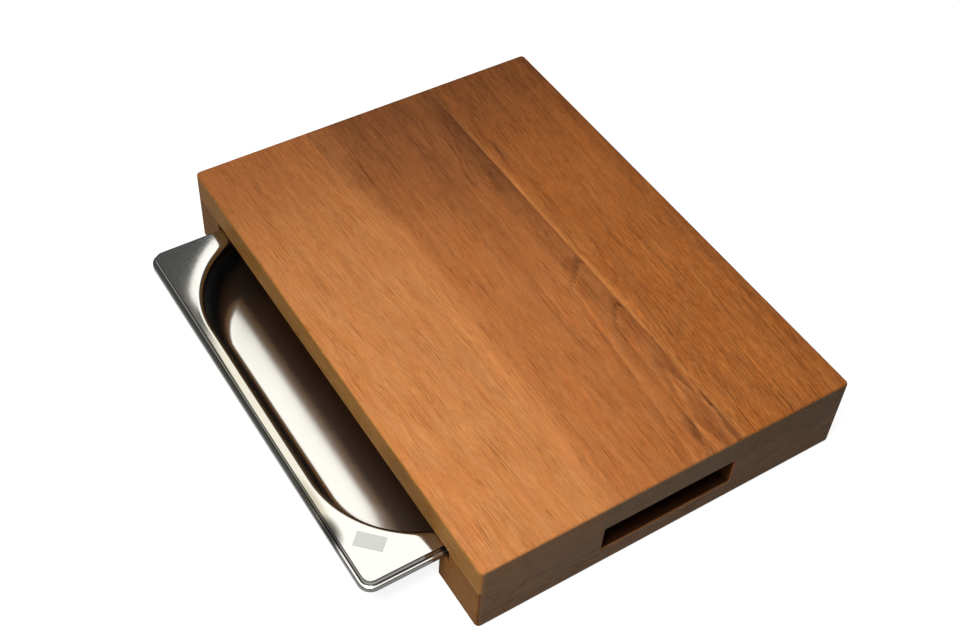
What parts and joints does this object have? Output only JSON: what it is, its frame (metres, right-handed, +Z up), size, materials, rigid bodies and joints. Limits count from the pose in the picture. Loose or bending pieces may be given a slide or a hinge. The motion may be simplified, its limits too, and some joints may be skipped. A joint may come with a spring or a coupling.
{
  "type": "cutting board with a slide-in tray",
  "caption": "Thick rectangular wooden cutting board on two end blocks with finger pockets, and a shallow stepped-rim steel tray that slides out of grooves under one long side.",
  "frame": {"origin": "bottom centre of the whole object as it stands, with its tray pulled out by 57.5 mm", "axes": "+X along the board's long side, +Y from the tray's front towards the board's back, +Z up"},
  "size_m": [0.402, 0.3516, 0.064],
  "materials": {
    "oiled_wood_front": "oiled, satin",
    "oiled_wood_middle": "oiled, satin",
    "oiled_wood_rear": "oiled, satin",
    "oiled_wood_block": "oiled, satin",
    "oiled_wood_rail": "oiled, satin",
    "beech": "raw",
    "stainless_steel": "polished",
    "label_paper": "matt"
  },
  "bodies": {
    "board": {"plank_front": "oiled_wood_front", "plank_middle": "oiled_wood_middle", "plank_rear": "oiled_wood_rear", "end_block_left": "oiled_wood_block", "end_block_right": "oiled_wood_block", "rear_rail": "oiled_wood_rail", "dowels_left": "beech", "dowels_right": "beech", "dowels_rear": "beech"},
    "tray": {"tray": "stainless_steel", "tray_label": "label_paper"}
  },
  "joints": [
    {"name": "tray_slide", "type": "slide", "parent": "board", "child": "tray", "axis": [0, -1, 0], "range_m": [-0.058, 0.195]}
  ]
}
